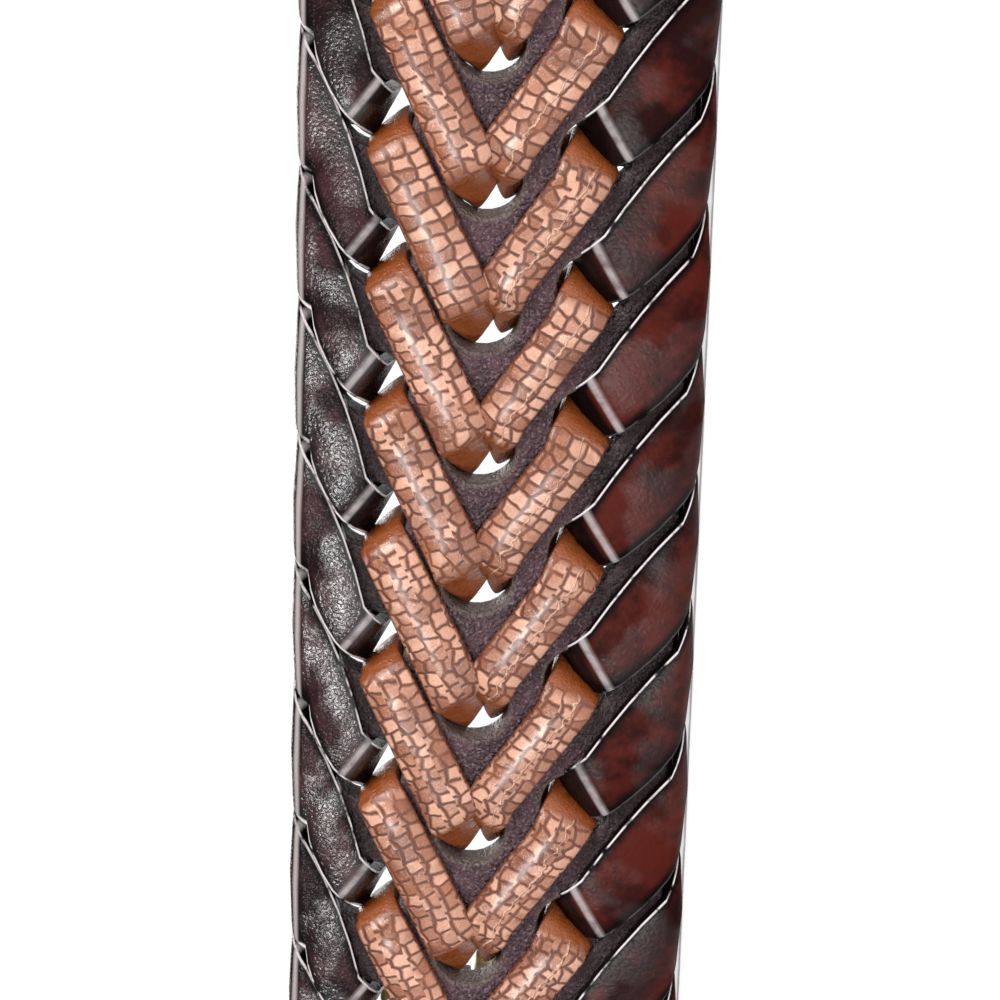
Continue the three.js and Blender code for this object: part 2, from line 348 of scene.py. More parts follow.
def use_grain(tree, place, pebbles):
    node = add_node(tree, "Group", node_tree=grain)
    tree.links.new(place, node.inputs["Vector"])
    node.inputs["Pebbles"].default_value = pebbles
    return node.outputs


def add_bump(tree, shader, height, distance, strength=1.0):
    bump = add_node(tree, "Bump", {"Height": height, "Distance": distance, "Strength": strength})
    tree.links.new(bump.outputs["Normal"], shader.inputs["Normal"])


def make_rough_leather():
    """Rough split leather: purple-brown, nearly matt, with pale fibres that stand up. Along its
    sides, where the edge laces lie over it, painted shade makes it nearly black, and its cut edges
    are smooth and greyish."""
    material, tree, shader, place = new_material("rough_leather")
    marks = use_grain(tree, place, 1700.0)
    ground = mix_colours(tree, marks["Blotches"], leather(48, 29, 33), leather(80, 54, 60))
    fibres = times(tree, marks["Fibres"], 0.55)
    colour = mix_colours(tree, fibres, ground, leather(140, 118, 126))
    cut = add_node(tree, "Attribute", attribute_name="cut").outputs["Fac"]
    colour = mix_colours(tree, times(tree, cut, 0.75), colour, leather(92, 78, 72))
    # Painted shade: near the upper and lower sides, under and between the edge laces, the strap is
    # darkened nearly to black.
    level = add_node(tree, "SeparateXYZ", {"Vector": place}).outputs["Z"]
    upper_side = spread(tree, level, 0.0245, 0.0275)
    lower_side = spread(tree, level, 0.011, 0.008)
    sides = math_of(tree, "MAXIMUM", upper_side, lower_side)
    colour = mix_colours(tree, times(tree, sides, 0.7), colour, leather(26, 15, 17))
    tree.links.new(colour, shader.inputs["Base Color"])
    rough = spread(tree, marks["Blotches"], 0, 1, 0.6, 0.82)
    tree.links.new(math_of(tree, "MULTIPLY_ADD", cut, -0.2, rough), shader.inputs["Roughness"])
    add_bump(tree, shader, marks["Height"], 0.00028)
    return material


def make_strap():
    sheet = bmesh.new()
    cut_outline(sheet)
    for number in range(turns):
        for row, step in (("left", 0), ("centre", 1), ("right", 0)):
            across, lag = rows[row]
            punch(sheet, first_hole + (number + step + lag) * pitch, across, hole_radius)
    for number in range(size_holes):
        place = first_size_hole + number * size_hole_spacing
        punch(sheet, place, belt_width / 2, size_hole_radius)
    slot_radius = 2.5
    slot_behind = 4
    slot_length = loop_length + 2 * slot_behind
    slot_middle = bar_place + loop_length / 2
    punch(sheet, slot_middle, belt_width / 2, slot_radius, slot_length - 2 * slot_radius)
    bmesh.ops.triangle_fill(sheet, edges=sheet.edges[:], use_beauty=True, normal=(0, 0, 1))

    # Cut lines where the strap bends: every few degrees of each corner, and round the bar
    corner_steps = 48
    cuts = []
    for step in range(corner_steps + 1):
        place = front_length / 2 + corner_length * step / corner_steps
        cuts.extend((place, -place))
    loop_steps = 24
    loop_start = bar_place - fold_parting
    loop_reach = loop_length + 2 * fold_parting
    cuts.extend(loop_start + loop_reach * step / loop_steps for step in range(loop_steps + 1))
    cuts.append(strap_end - fold_skive)
    for place in cuts:
        everything = sheet.verts[:] + sheet.edges[:] + sheet.faces[:]
        bmesh.ops.bisect_plane(sheet, geom=everything, dist=1e-5, plane_co=(place, 0, 0),
                               plane_no=(1, 0, 0))
    for vert in sheet.verts:
        vert.co.z = strap_thickness / 2
    round_rims(sheet)
    bmesh.ops.mirror(sheet, geom=sheet.verts[:] + sheet.edges[:] + sheet.faces[:], axis="Z",
                     matrix=Matrix.Identity(4), merge_dist=1e-4)
    bmesh.ops.recalc_face_normals(sheet, faces=sheet.faces[:])
    for vert in sheet.verts:
        along, out = fold(vert.co.x, vert.co.z)
        vert.co = on_belt(along, vert.co.y, out)
    # The belt's frame runs the other way round from the flat sheet
    bmesh.ops.recalc_face_normals(sheet, faces=sheet.faces[:])
    return sheet


strap = add_piece("strap", make_strap(), make_rough_leather())
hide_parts("base_strap")

# ---- Laces
# Four long leather laces, 1.3 mm thick, that each move on by one pitch a turn. The dark ones are
# whipped over an edge and into the outer holes, and the tan ones run from there into the middle.
lace_thickness = 1.3
ring_points = 20

# A lace turns about pivots. A row gives the pivot from a hole or an edge that is step pitches on,
# its level, the lace's distance from it, and the lace's section there: swing in the strap's
# plane, turn round the pivot, width, and the lift of its edges along its own normal.
Station = namedtuple("Station", "row step across along level radius swing turn width lift")
edge_left_turn = [
    Station("upper edge", -1.17, 1.5, 0, 1.45, 0.85, -90, -90, 12.3, -0.25),
    Station("upper edge", -1.17, 1.5, 2.2, 1.05, 0.85, -90, 0, 10.5, -0.1),
    Station("left", 0, -1.85, -2.4, 1.5, 0.8, -54, 0, 4.5, -0.05),
    Station("left", 0, -1.8, -1.4, 0.9, 1.5, -53, 90, 4.3, 0.1),
    Station("left", 0, -2, -0.9, -0.9, 2.4, -64, 90, 5.2, 0.1),
    Station("left", 0, -2.5, -0.1, -1.5, 0.8, -85, 180, 4.6, 0),
    Station("upper edge", -0.2, 1.5, 0, -1.45, 0.85, -90, 180, 9.5, -0.1),
    Station("upper edge", -0.2, 1.5, 0, -1.45, 0.85, -90, 270, 12, -0.2),
]
edge_right_turn = [
    Station("lower edge", -1.06, -1.5, -1.6, 1.45, 0.85, 90, -90, 12.6, -0.5),
    Station("lower edge", -1.06, -1.5, 2.2, 1.45, 0.85, 90, 0, 10.4, -0.15),
    Station("right", 0, 2.2, -2.8, 1.5, 0.8, 61, 0, 5.9, -0.05),
    Station("right", 0, 1.75, -1.9, 0.9, 1.4, 57, 90, 5.2, 0.1),
    Station("right", 0, 1.8, -1.1, -0.9, 2.5, 72, 90, 5.8, 0.1),
    Station("right", 0, 2.4, -0.2, -1.5, 0.8, 85, 180, 5, 0),
    Station("lower edge", -0.1, -1.5, 0, -1.45, 0.85, 90, 180, 9.5, -0.1),
    Station("lower edge", -0.1, -1.5, 0, -1.45, 0.85, 90, 270, 12.4, -0.4),
]
tan_left_turn = [
    Station("left", 0, 1.9, 2.3, -1.5, 0.8, -52, -180, 4.2, 0),
    Station("left", 0, 1.6, 2.3, -0.9, 0.8, -42, -90, 4.4, 0.15),
    Station("left", 0, 1.3, 2.9, 0.9, 0.8, -37, -90, 4.5, 0.1),
    Station("left", 0, 1.65, 3.6, 1.3, 1, -29, 0, 4.6, -0.2),
    Station("centre", 1, -1.65, -2.1, 1.3, 1, -29, 0, 5, -0.2),
    Station("centre", 1, -1.95, -1.75, 0.9, 1.1, -35, 90, 5.1, 0.1),
    Station("centre", 1, -1.4, -0.1, -0.9, 1.7, -60, 90, 4.8, 0.1),
    Station("centre", 1, -2.4, -0.4, -1.5, 0.8, -65, 180, 4.2, 0),
]
tan_right_turn = [
    Station("right", 0, -1.9, 1.6, -1.5, 0.8, 55, -180, 4.2, 0),
    Station("right", 0, -1.13, 1.13, -0.9, 1.3, 45, -90, 5, 0.1),
    Station("right", 0, -0.85, 1.6, 0.9, 1.1, 33, -90, 5.1, 0.05),
    Station("right", 0, -1.18, 2.49, 1.3, 1, 14, 0, 5, -0.2),
    Station("centre", 1, 1.75, -3.4, 1.2, 1, 27, 0, 4.6, -0.2),
    Station("centre", 1, 1.75, -2.4, 1.05, 1, 30, 10, 4, -0.15),
    Station("centre", 1, 1.5, -1.8, 0.6, 0.9, 45, 90, 3.7, 0.1),
    Station("centre", 1, 2.1, -0.5, -0.9, 1, 70, 90, 4.4, 0.1),
    Station("centre", 1, 2.9, -0.4, -1.5, 0.8, 65, 180, 4.2, 0),
]


def settle(station, number, chance):
    """A station's own numbers at one turn of the lace, each turn a little unlike the next."""
    across, lag = rows[station.row]
    full = 360 * number
    return {
        "along": first_hole + (number + station.step + lag) * pitch + station.along,
        "across": across + station.across,
        "level": station.level,
        "radius": station.radius,
        "swing": station.swing + chance["swing"],
        "turn": station.turn + full,
        "width": station.width * chance["width"],
        "lift": station.lift,
        "tone": chance["tone"],
    }


def sections_of(stations, seed):
    """All the sections of a lace, in order, with sections added where it bends or runs on."""
    draw = random.Random(seed)
    degrees_a_step = 22.5
    length_a_step = 2.4
    keys = []
    for number in range(turns):
        chance = {
            "swing": draw.uniform(-1.5, 1.5),
            "width": draw.uniform(0.97, 1.02),
            "tone": draw.random(),
        }
        keys.extend(settle(station, number, chance) for station in stations)
    keys[0]["turn"] = max(keys[0]["turn"], -180)
    sections = [keys[0]]
    for before, after in zip(keys, keys[1:]):
        bend = abs(after["turn"] - before["turn"]) / degrees_a_step
        run = math.hypot(after["along"] - before["along"], after["across"] - before["across"])
        steps = max(1, round(bend + run / length_a_step))
        for step in range(1, steps + 1):
            share = step / steps
            sections.append({name: start + (after[name] - start) * share
                             for name, start in before.items()})
    return sections


def squared(value, power):
    return math.copysign(abs(value) ** power, value)


def wind_lace(stations, seed, run_angle, squareness, crown):
    """A lace as rings of points extruded on from section to section. The attribute strip holds
    the distance along and across it, and marks holds the distance from its edge, how far it has
    bent into a hole, or with a minus sign out of one or over an edge, and the turn's own tone."""
    lace = bmesh.new()
    strip = lace.verts.layers.float_vector.new("strip")
    marks = lace.verts.layers.float_vector.new("marks")
    ring = bmesh.ops.create_circle(lace, segments=ring_points, radius=1)["verts"]
    shape = []
    for vert in ring:
        x, z = squared(vert.co.x, squareness), squared(vert.co.y, squareness)
        shape.append((x, z - crown * x * x * max(z, 0)))
    length = 0
    last_middle = None
    for section in sections_of(stations, seed):
        swing, turn = math.radians(section["swing"]), math.radians(section["turn"])
        width_way = Vector((math.sin(swing), math.cos(swing), 0))
        onward = Vector((math.cos(swing), -math.sin(swing), 0))
        normal = onward * math.sin(turn) + Vector((0, 0, math.cos(turn)))
        pivot = Vector((section["along"], section["across"], section["level"]))
        middle = pivot + normal * section["radius"]
        if last_middle is not None:
            length += (middle - last_middle).length
            edges = {edge for vert in ring for edge in vert.link_edges
                     if edge.other_vert(vert) in ring}
            made = bmesh.ops.extrude_edge_only(lace, edges=list(edges))["geom"]
            fresh = {item for item in made if isinstance(item, bmesh.types.BMVert)}
            ring = [next(edge.other_vert(vert) for edge in vert.link_edges
                         if edge.other_vert(vert) in fresh) for vert in ring]
        last_middle = middle
        skew = swing - math.radians(run_angle)
        from_edge = section["width"] / 2 * abs(math.cos(skew))
        bent = math.copysign(1 - max(math.cos(turn), 0), math.sin(turn))
        for vert, (x, z) in zip(ring, shape):
            aside = x * section["width"] / 2
            raised = z * lace_thickness / 2 + section["lift"] * x * x
            place = middle + width_way * aside + normal * raised
            vert.co = on_belt(*place)
            vert[strip] = Vector((length + aside * math.sin(skew), aside * math.cos(skew), 0))
            vert[marks] = Vector(((1 - abs(x)) * from_edge, bent, section["tone"]))
    bmesh.ops.holes_fill(lace, edges=[edge for edge in lace.edges if edge.is_boundary], sides=0)
    bmesh.ops.recalc_face_normals(lace, faces=lace.faces[:])
    return lace


def noise(tree, place, scale, detail):
    sockets = {"Vector": place, "Scale": scale, "Detail": detail}
    return add_node(tree, "TexNoise", sockets).outputs["Fac"]


def read_marks(tree):
    strip = add_node(tree, "Attribute", attribute_name="strip").outputs["Vector"]
    marks = add_node(tree, "Attribute", attribute_name="marks").outputs["Vector"]
    parts = add_node(tree, "SeparateXYZ", {"Vector": marks})
    return strip, parts.outputs["X"], parts.outputs["Y"], parts.outputs["Z"]


def make_dark_leather(name, ground, patch, burnish_and_hole_shade, roughness, pebbles, wrap_highlight, far_lines,
                      glaze, relief):
    """Glazed dark leather: dye in blotches, sides burnished nearly black, painted shade where the
    lace goes down into a hole, and painted highlights as pale lines along the cut edges and where
    the lace bends. wrap_highlight is how strong the painted highlight on the bends over the belt's
    edge is, far_lines how strong the painted highlight on the lace's second edge is, glaze how much
    its polished patches reflect, and relief the depth of its grain in metres."""
    far_edge = 0.5
    material, tree, shader, place = new_material(name)
    strip, edge, bent, tone = read_marks(tree)
    marks = use_grain(tree, place, pebbles)
    blotches = math_of(tree, "MULTIPLY_ADD", tone, 0.35, times(tree, marks["Blotches"], 0.8))
    colour = mix_colours(tree, spread(tree, blotches, 0.1, 0.95), ground, patch)
    colour = mix_colours(tree, spread(tree, edge, 1.1, 0.3), colour, burnish_and_hole_shade)
    # Painted shade: the lace is darkened nearly to black where it goes down into a hole; the same
    # colour also darkens its burnished edges.
    colour = mix_colours(tree, spread(tree, bent, 0.15, 0.5), colour, burnish_and_hole_shade)
    breaks = noise(tree, strip, 0.6, 4.0)
    # Painted highlight: a pale rim where the lace bends down into a hole.
    into_hole = times(tree, spread(tree, bent, 0.04, 0.1), spread(tree, bent, 0.26, 0.17))
    into_hole = times(tree, into_hole, spread(tree, breaks, 0.3, 0.6, 0.35, 1))
    # Painted highlight: pale bands where the lace bends out of a hole or over the belt's edge.
    over_edge = times(tree, spread(tree, bent, -0.1, -0.22),
                      spread(tree, bent, -0.5, -0.3))
    # Painted highlight: pale lines along the lace's cut edges, weaker on its second edge.
    side = add_node(tree, "SeparateXYZ", {"Vector": strip}).outputs["Y"]
    lit_edge = times(tree, spread(tree, edge, 0.03, 0.08), spread(tree, edge, 0.26, 0.14))
    lit_edge = times(tree, lit_edge, spread(tree, breaks, 0.36, 0.5))
    side_share = spread(tree, side, far_edge, -far_edge, far_lines, 1)
    lit_edge = times(tree, lit_edge, side_share)
    # All the painted highlights together, painted in pale grey over the leather.
    painted_highlight = math_of(tree, "MAXIMUM", lit_edge, times(tree, over_edge, wrap_highlight))
    painted_highlight = math_of(tree, "MAXIMUM", painted_highlight, times(tree, into_hole, 0.5))
    colour = mix_colours(tree, times(tree, painted_highlight, 0.9), colour, leather(214, 204, 204))
    tree.links.new(colour, shader.inputs["Base Color"])
    polish = noise(tree, strip, 0.13, 3.0)
    gloss = spread(tree, marks["Fibres"], 0, 1, roughness, roughness + 0.12)
    tree.links.new(gloss, shader.inputs["Roughness"])
    shine = spread(tree, polish, 0.44, 0.56, glaze * 0.12, glaze)
    tree.links.new(shine, shader.inputs["Specular IOR Level"])
    add_bump(tree, shader, marks["Height"], relief)
    return material


def make_scales():
    """Embossed lizard scales: rows of small pads between grooves, in columns along the lace."""
    group, given, result = new_group(
        "lizard_scales",
        [("Strip", "NodeSocketVector", None), ("Tone", "NodeSocketFloat", 0.5)],
        [(label, "NodeSocketFloat") for label in ("Pads", "Grooves", "Shade")],
    )
    scale_length = 1.25
    scale_width = 1.5
    strip, tone = given.outputs["Strip"], given.outputs["Tone"]
    wander = add_node(group, "TexNoise", {"Vector": strip, "Scale": 0.55, "Detail": 2.0})
    shift = add_node(group, "VectorMath", {0: wander.outputs["Color"], 1: (0.5, 0.5, 0.5)},
                     operation="SUBTRACT")
    shift = add_node(group, "VectorMath", {0: shift.outputs[0], "Scale": 0.9}, operation="SCALE")
    moved = add_node(group, "VectorMath", {0: strip, 1: shift.outputs[0]}, operation="ADD")
    parts = add_node(group, "SeparateXYZ", {"Vector": moved.outputs[0]})
    across = math_of(group, "DIVIDE", parts.outputs["Y"], scale_width)
    column = math_of(group, "ROUND", math_of(group, "ABSOLUTE", across))
    staggered = math_of(group, "GREATER_THAN", tone, 0.45)
    offset = times(group, times(group, column, 0.5), staggered)
    along = math_of(group, "DIVIDE", parts.outputs["X"], scale_length)
    along = math_of(group, "ADD", along, offset)
    place = add_node(group, "CombineXYZ", {"X": along, "Y": across}).outputs[0]
    loose = math_of(group, "MULTIPLY_ADD", tone, 0.35, 0.25)
    settings = {"Vector": place, "Scale": 1.0, "Randomness": loose}
    cells = add_node(group, "TexVoronoi", settings, feature="DISTANCE_TO_EDGE",
                     voronoi_dimensions="2D")
    shades = add_node(group, "TexVoronoi", settings, voronoi_dimensions="2D")
    shade = add_node(group, "SeparateColor", {"Color": shades.outputs["Color"]}).outputs["Red"]
    group.links.new(spread(group, cells.outputs["Distance"], 0.02, 0.17), result.inputs["Pads"])
    group.links.new(spread(group, cells.outputs["Distance"], 0.07, 0.02), result.inputs["Grooves"])
    group.links.new(shade, result.inputs["Shade"])
    return group


scales = make_scales()


def make_tan_leather(name, crease):
    """Tan leather embossed with scales: glazed pads painted pale, partly their own lighter tone and
    partly painted highlight, dark grooves, and orange where the lace bends into a hole and the
    emboss is stretched out. A crease runs along it if asked for."""
    material, tree, shader, place = new_material(name)
    strip, edge, bent, tone = read_marks(tree)
    pattern = add_node(tree, "Group", node_tree=scales)
    tree.links.new(strip, pattern.inputs["Strip"])
    tree.links.new(tone, pattern.inputs["Tone"])
    pads, grooves, shade = (pattern.outputs[label] for label in ("Pads", "Grooves", "Shade"))
    marks = use_grain(tree, place, 2600.0)
    bends = math_of(tree, "ABSOLUTE", bent)
    flat = spread(tree, bends, 0.55, 0.1)
    patches = noise(tree, strip, 0.22, 3.0)
    embossed = times(tree, flat, spread(tree, patches, 0.3, 0.5, 0.25, 1))
    ground = mix_colours(tree, marks["Blotches"], leather(104, 52, 29), leather(138, 76, 44))
    # Painted highlight: the pads are painted pale, partly their own lighter tone and partly painted
    # highlight.
    pale = times(tree, times(tree, pads, embossed),
                   spread(tree, shade, 0.1, 0.9, 0.15, 0.9))
    colour = mix_colours(tree, pale, ground, leather(204, 154, 130))
    colour = mix_colours(tree, times(tree, grooves, embossed), colour, leather(84, 42, 27))
    stretched = spread(tree, bends, 0.08, 0.5, 0, 0.85)
    colour = mix_colours(tree, stretched, colour, leather(138, 70, 30))
    edge_line = spread(tree, edge, 0.3, 0.02, 0, 0.8)
    colour = mix_colours(tree, edge_line, colour, leather(96, 48, 30))
    height = times(tree, pads, embossed)
    if crease:
        parts = add_node(tree, "SeparateXYZ", {"Vector": strip})
        jagged = noise(tree, strip, 0.8, 4.0)
        line = math_of(tree, "MULTIPLY_ADD", jagged, 1.6, -0.35)
        gap = math_of(tree, "ABSOLUTE", math_of(tree, "SUBTRACT", parts.outputs["Y"], line))
        ridge = times(tree, spread(tree, gap, 0.16, 0.02), flat)
        colour = mix_colours(tree, times(tree, ridge, 0.7), colour, leather(224, 180, 156))
        height = math_of(tree, "ADD", height, ridge)
    height = math_of(tree, "ADD", height, times(tree, marks["Height"], 0.25))
    tree.links.new(colour, shader.inputs["Base Color"])
    tree.links.new(spread(tree, pads, 0, 1, 0.5, 0.26), shader.inputs["Roughness"])
    shader.inputs["Coat Weight"].default_value = 0.3
    shader.inputs["Coat Roughness"].default_value = 0.2
    add_bump(tree, shader, height, 0.00016)
    return material


dark_left = make_dark_leather("dark_left_leather", leather(26, 15, 17), leather(54, 32, 34),
                              leather(12, 7, 8), 0.2, 2100.0, 0.5, 0.8, 0.5, 0.00003)
dark_right = make_dark_leather("dark_right_leather", leather(32, 11, 11), leather(72, 25, 18),
                               leather(13, 6, 7), 0.34, 1500.0, 0.0, 0.1, 0.16, 0.000015)
tan_left = make_tan_leather("tan_left_leather", crease=False)
tan_right = make_tan_leather("tan_right_leather", crease=True)

laces = [
    ("edge_lace_left", edge_left_turn, -23.5, 0.22, 0.05, dark_left, "dark_left_leather"),
    ("edge_lace_right", edge_right_turn, 38, 0.22, 0.05, dark_right, "dark_right_leather"),
    ("tan_lace_left", tan_left_turn, -23, 0.55, 0.25, tan_left, "tan_leather"),
    ("tan_lace_right", tan_right_turn, 29.3, 0.55, 0.25, tan_right, "tan_leather"),
]
for seed, (node, stations, run_angle, squareness, crown, material, slot) in enumerate(laces):
    lace = add_piece(node.replace("lace", "leather_lace"),
                     wind_lace(stations, seed, run_angle, squareness, crown), material)
    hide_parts(node)

# ---- Buckle
# A cast brass frame of two rails and a far end, a round bar between the rails, and a prong that
# is curled round the bar and rests on the far end. The brass has darkened with age.
rail_width = 3.5
window_length = 20
frame_corner = 6
bar_radius = 2
hub_radius = 3.5
prong_width = 4
prong_thickness = 2.5
prong_overhang = 1.5
near_end = -bar_room
inner_end = bar_radius + window_length
far_end = inner_end + rail_width


def bevel_sharp(shape, radius, segments=3, sharp=35):
    """Rounds all edges where the shape turns by more than sharp degrees."""
    edges = [edge for edge in shape.edges
             if edge.is_manifold and edge.calc_face_angle() > math.radians(sharp)]
    bmesh.ops.bevel(shape, geom=edges, offset=radius, offset_type="OFFSET", segments=segments,
                    profile=0.5, affect="EDGES", material=-1, clamp_overlap=True)


def thicken(shape, faces, way):
    """Extrudes faces into a closed solid."""
    made = bmesh.ops.extrude_face_region(shape, geom=faces, use_keep_orig=True)["geom"]
    fresh = [item for item in made if isinstance(item, bmesh.types.BMVert)]
    bmesh.ops.translate(shape, verts=fresh, vec=way)
    bmesh.ops.recalc_face_normals(shape, faces=shape.faces[:])


def flat_plate(shape, corners):
    verts = [shape.verts.new(corner) for corner in corners]
    shape.faces.new(verts)
    return verts


def round_corners(shape, verts, radius, segments=6):
    bmesh.ops.bevel(shape, geom=verts, offset=radius, offset_type="OFFSET", segments=segments,
                    profile=0.5, affect="VERTICES", material=-1)


def join_shape(whole, part):
    """Adds one bmesh to another."""
    mesh = bpy.data.meshes.new("part")
    part.to_mesh(mesh)
    part.free()
    whole.from_mesh(mesh)
    bpy.data.meshes.remove(mesh)


def make_rails():
    rails = bmesh.new()
    half = rail_width / 2
    verts = flat_plate(rails, [
        (near_end, 0, -half), (far_end, 0, -half), (far_end, belt_width, -half),
        (near_end, belt_width, -half), (near_end, belt_width - rail_width, -half),
        (inner_end, belt_width - rail_width, -half), (inner_end, rail_width, -half),
        (near_end, rail_width, -half),
    ])
    round_corners(rails, [verts[1], verts[2]], frame_corner)
    round_corners(rails, [verts[5], verts[6]], frame_corner - rail_width)
    thicken(rails, rails.faces[:], (0, 0, rail_width))
    bevel_sharp(rails, 0.9)
    return rails


def make_rod(radius, start, end, bevel):
    """A round rod across the belt."""
    rod = bmesh.new()
    place = Matrix.Translation((0, (start + end) / 2, 0)) @ Matrix.Rotation(math.pi / 2, 4, "X")
    bmesh.ops.create_cone(rod, cap_ends=True, segments=32, radius1=radius, radius2=radius,
                          depth=end - start, matrix=place)
    bevel_sharp(rod, bevel)
    return rod


def make_prong():
    """The prong's side, from its curl over the frame's far end to its tapered tip, made wide."""
    prong = bmesh.new()
    rest = rail_width / 2 - 0.2
    start = belt_width / 2 - prong_width / 2
    tip = far_end + prong_overhang
    flat_plate(prong, [
        (0, start, hub_radius - prong_thickness), (inner_end * 0.5, start, rest - 0.7),
        (inner_end, start, rest), (tip, start, rest), (tip, start, rest + prong_thickness * 0.6),
        (inner_end, start, rest + prong_thickness), (inner_end * 0.5, start, hub_radius - 0.2),
        (0, start, hub_radius),
    ])
    thicken(prong, prong.faces[:], (0, prong_width, 0))
    for vert in prong.verts:
        if vert.co.x > inner_end - 1:
            vert.co.y = belt_width / 2 + (vert.co.y - belt_width / 2) * 0.8
    bevel_sharp(prong, 0.6, sharp=20)
    return prong


def make_brass():
    """Aged brass: brown where it has tarnished, bright where it is rubbed, finely scratched."""
    material, tree, shader, place = new_material("aged_brass")
    cloud = noise(tree, place, 160.0, 5.0)
    tarnish = spread(tree, cloud, 0.36, 0.62)
    colour = mix_colours(tree, tarnish, leather(172, 146, 92), leather(104, 84, 52))
    tree.links.new(colour, shader.inputs["Base Color"])
    shader.inputs["Metallic"].default_value = 1.0
    stretched = add_node(tree, "Mapping", {"Vector": place, "Scale": (400.0, 400.0, 5000.0)})
    scratches = noise(tree, stretched.outputs[0], 1.0, 3.0)
    rough = spread(tree, tarnish, 0, 1, 0.2, 0.42)
    rough = math_of(tree, "MULTIPLY_ADD", scratches, 0.12, rough)
    tree.links.new(rough, shader.inputs["Roughness"])
    add_bump(tree, shader, scratches, 0.00001)
    return material


buckle_work = bmesh.new()
join_shape(buckle_work, make_rails())
join_shape(buckle_work, make_rod(bar_radius, rail_width / 2, belt_width - rail_width / 2, 0.1))
hub_start = (belt_width - prong_width) / 2
join_shape(buckle_work, make_rod(hub_radius, hub_start, hub_start + prong_width, 0.5))
join_shape(buckle_work, make_prong())
for vert in buckle_work.verts:
    vert.co = on_belt(bar_place + vert.co.x, vert.co.y, bar_level + vert.co.z)
bmesh.ops.recalc_face_normals(buckle_work, faces=buckle_work.faces[:])
buckle = add_piece("pronged_buckle", buckle_work, make_brass(), 50)
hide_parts("buckle")

# ---- Keeper
# A band of the dark red-brown leather, 10 mm wide and 2 mm thick, closed round the doubled strap
# with room for the tip. Its edges are bevelled and burnished, and its material paints pale
# highlight lines along them.
keeper_width = 10
keeper_thickness = 2
keeper_place = bar_place - 26
keeper_half = tab_width / 2 + 0.3
keeper_back = lying_level - fold_thickness / 2 - 0.3
keeper_front = strap_thickness / 2 + 4.6


def make_keeper():
    band = bmesh.new()
    reach = keeper_half + keeper_thickness
    start = keeper_place - keeper_width / 2
    low, high = keeper_back - keeper_thickness, keeper_front + keeper_thickness
    middle = belt_width / 2
    verts = flat_plate(band, [
        (start, middle - reach, low), (start, middle + reach, low),
        (start, middle + reach, high), (start, middle - reach, high),
    ])
    round_corners(band, verts, keeper_thickness + 0.4)
    inner = bmesh.ops.inset_region(band, faces=band.faces[:], thickness=keeper_thickness,
                                   use_boundary=True, use_even_offset=True)["faces"]
    bmesh.ops.delete(band, geom=[face for face in band.faces if face not in inner], context="FACES")
    thicken(band, band.faces[:], (keeper_width, 0, 0))
    bevel_sharp(band, 0.4, sharp=60)
    for offset in (1, 1.6, 2.4, 5, 7.6, 8.4, 9):
        bmesh.ops.bisect_plane(band, geom=band.verts[:] + band.edges[:] + band.faces[:], dist=1e-5,
                               plane_co=(start + offset, 0, 0), plane_no=(1, 0, 0))
    strip = band.verts.layers.float_vector.new("strip")
    marks = band.verts.layers.float_vector.new("marks")
    for vert in band.verts:
        along, across, out = vert.co
        from_edge = keeper_width / 2 - abs(along - keeper_place)
        vert[strip] = Vector((across + out, along - keeper_place, 0))
        vert[marks] = Vector((from_edge, 0, 0.6))
        vert.co = on_belt(along, across, out)
    bmesh.ops.recalc_face_normals(band, faces=band.faces[:])
    return band


keeper = add_piece("keeper_band", make_keeper(), dark_right)
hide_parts("keeper")

# ---- Stitches
# Waxed brown thread in two rows through the folded end, on the front and on the back, with each
# stitch sunk a little into the leather.
thread_radius = 0.4
stitch_length = 2.6
stitch_spacing = 3.3
stitch_margin = 2.6
stitch_start = bar_place - fold_length + 2.5
stitch_end = bar_place - fold_parting
stitch_work = bmesh.new()
stitch_count = int((stitch_end - stitch_start) / stitch_spacing)
front_level = strap_thickness / 2 + 0.05
back_level = lying_level - fold_thickness / 2 - 0.05
tab_edge = (belt_width - tab_width) / 2
for level in (front_level, back_level):
    for across in (tab_edge + stitch_margin, belt_width - tab_edge - stitch_margin):
        for number in range(stitch_count):
            along = stitch_start + (number + 0.5) * stitch_spacing
            shape = Matrix.Diagonal((stitch_length / 2 / thread_radius, 1, 0.8, 1))
            slant = Matrix.Rotation(math.radians(7), 4, "Z")
            place = Matrix.Translation((along, across, level)) @ slant @ shape
            bmesh.ops.create_uvsphere(stitch_work, u_segments=10, v_segments=8,
                                      radius=thread_radius, matrix=place)
for vert in stitch_work.verts:
    vert.co = on_belt(*vert.co)
bmesh.ops.recalc_face_normals(stitch_work, faces=stitch_work.faces[:])


def make_thread():
    """Waxed thread: dark brown, with its plies showing as fine slanting lines."""
    material, tree, shader, place = new_material("waxed_thread")
    plies = add_node(tree, "TexWave", {"Vector": place, "Scale": 900.0, "Distortion": 1.5},
                     bands_direction="DIAGONAL").outputs["Fac"]
    colour = mix_colours(tree, plies, leather(48, 32, 27), leather(92, 66, 52))
    tree.links.new(colour, shader.inputs["Base Color"])
    tree.links.new(spread(tree, plies, 0, 1, 0.6, 0.42), shader.inputs["Roughness"])
    add_bump(tree, shader, plies, 0.00006)
    return material


stitches = add_piece("fold_stitches", stitch_work, make_thread())

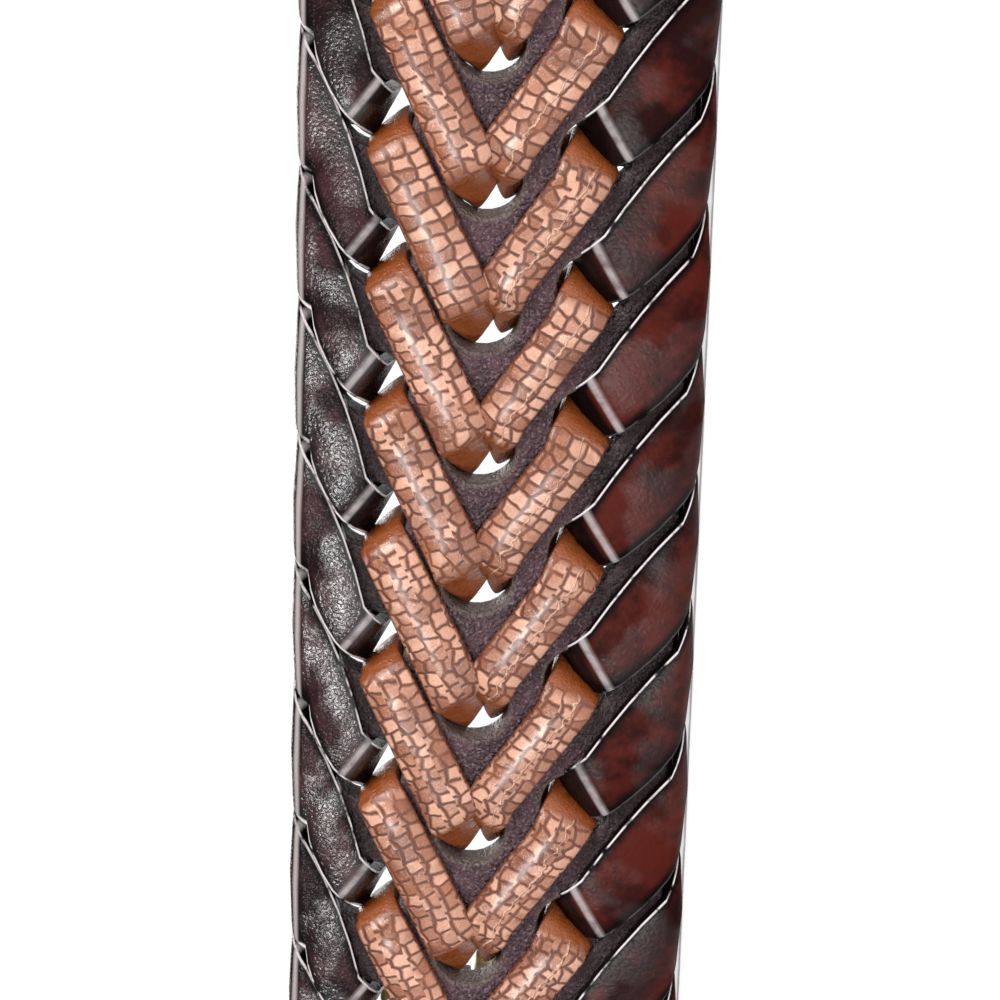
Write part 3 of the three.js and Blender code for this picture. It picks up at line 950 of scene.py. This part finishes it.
# ---- Studio
# A plain pale floor that glows a little, soft light from the front, above and behind, and the
# camera close to the front.
floor_work = bmesh.new()
bmesh.ops.create_circle(floor_work, cap_ends=True, segments=64, radius=6)
floor_mesh = bpy.data.meshes.new("floor")
floor_work.to_mesh(floor_mesh)
floor_work.free()
floor_material = bpy.data.materials.new("pale_floor")
floor_material.use_nodes = True
floor_paint = floor_material.node_tree.nodes["Principled BSDF"].inputs
floor_paint["Base Color"].default_value = (0.9, 0.9, 0.9, 1)
floor_paint["Roughness"].default_value = 0.8
floor_paint["Emission Color"].default_value = (1, 1, 1, 1)
floor_paint["Emission Strength"].default_value = 0.3
floor_mesh.materials.append(floor_material)
floor = bpy.data.objects.new("floor", floor_mesh)
bpy.context.scene.collection.objects.link(floor)

world = bpy.data.worlds.new("studio")
bpy.context.scene.world = world
world.use_nodes = True
sky = world.node_tree
fill_strength = 0.25
seen_strength = 1.05
fill = sky.nodes["Background"]
fill.inputs["Color"].default_value = (1, 1, 1, 1)
fill.inputs["Strength"].default_value = fill_strength
seen = add_node(sky, "Background", {"Color": (1, 1, 1, 1), "Strength": seen_strength})
ray = add_node(sky, "LightPath").outputs["Is Camera Ray"]
both = add_node(sky, "MixShader", {0: ray, 1: fill.outputs[0], 2: seen.outputs[0]})
sky.links.new(both.outputs[0], sky.nodes["World Output"].inputs["Surface"])

frame_middle = Vector((0.004, -0.1679, 0.0172))
camera_distance = 0.378
camera_bearing = math.radians(21.4)
camera_roll = math.radians(1.52)
camera_data = bpy.data.cameras.new("camera")
camera_data.angle = math.radians(12.9)
camera_data.clip_start = 0.01
camera = bpy.data.objects.new("camera", camera_data)
bpy.context.scene.collection.objects.link(camera)
bpy.context.scene.camera = camera
back = Vector((math.sin(camera_bearing), -math.cos(camera_bearing), 0))
upward = Matrix.Rotation(camera_roll, 3, back) @ (Vector((1, 0, 0)) - back * back.x).normalized()
rightward = upward.cross(back)
turned = Matrix((rightward, upward, back)).transposed().to_4x4()
camera.matrix_world = Matrix.Translation(frame_middle + back * camera_distance) @ turned


def add_softbox(name, offset, size, power):
    """A square soft light that looks at the middle of the front from an offset in metres."""
    light_data = bpy.data.lights.new(name, "AREA")
    light_data.size = size
    light_data.energy = power
    light = bpy.data.objects.new(name, light_data)
    bpy.context.scene.collection.objects.link(light)
    light.location = frame_middle + Vector(offset)
    light.rotation_euler = Vector(offset).to_track_quat("Z", "Y").to_euler()


add_softbox("key_light", (-0.22, -0.55, 0.08), 0.08, 1.25)
add_softbox("high_light", (0.55, -0.6, 0.6), 0.5, 11)
add_softbox("rear_light", (-0.2, 1.2, 0.9), 1.0, 12)

bpy.context.scene.view_settings.view_transform = "Standard"
